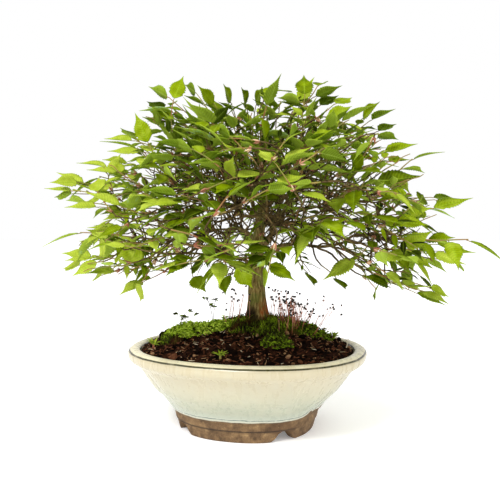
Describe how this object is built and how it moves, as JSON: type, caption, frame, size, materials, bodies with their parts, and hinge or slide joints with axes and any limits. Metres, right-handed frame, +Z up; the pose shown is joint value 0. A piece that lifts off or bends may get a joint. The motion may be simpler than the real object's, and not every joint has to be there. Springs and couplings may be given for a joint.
{
  "type": "potted bonsai tree",
  "caption": "Broom-shaped hornbeam bonsai with a spreading crown of toothed leaves, on a mossy mound of soil in an oval cream-glazed pot with low feet.",
  "frame": {"origin": "on the ground, under the middle of the whole plant's box", "axes": "+Z up, +X to the viewer's right along the crown's width, the viewer on the -Y side; the pot's long axis is turned 16 degrees about Z, its right end nearer the viewer"},
  "size_m": [0.4972, 0.4234, 0.4184],
  "materials": {
    "glaze": "gloss",
    "soil": "matte",
    "bark": "matte",
    "screen": "matte",
    "moss": "matte",
    "weed": "matte",
    "leaf": "satin"
  },
  "bodies": {
    "root": {"pot": "glaze", "soil": "soil", "trunk": "bark", "drain_screen_left": "screen", "drain_screen_right": "screen", "moss_round_trunk": "moss", "moss_left": "moss", "moss_front": "moss", "weed_front": "weed", "weed_left": "weed", "weed_right": "weed", "shoot_01": "leaf", "shoot_02": "leaf", "shoot_03": "leaf", "shoot_04": "leaf", "shoot_05": "leaf", "shoot_06": "leaf", "shoot_07": "leaf", "shoot_08": "leaf", "shoot_09": "leaf", "shoot_10": "leaf", "shoot_11": "leaf", "shoot_12": "leaf", "shoot_13": "leaf", "shoot_14": "leaf", "shoot_15": "leaf", "shoot_16": "leaf", "shoot_17": "leaf", "shoot_18": "leaf", "shoot_19": "leaf", "shoot_20": "leaf", "shoot_21": "leaf", "shoot_22": "leaf", "shoot_23": "leaf", "shoot_24": "leaf", "shoot_25": "leaf", "shoot_26": "leaf", "shoot_27": "leaf", "shoot_28": "leaf", "shoot_29": "leaf", "shoot_30": "leaf", "shoot_31": "leaf", "shoot_32": "leaf", "shoot_33": "leaf", "shoot_34": "leaf", "shoot_35": "leaf", "shoot_36": "leaf", "shoot_37": "leaf"}
  },
  "joints": []
}
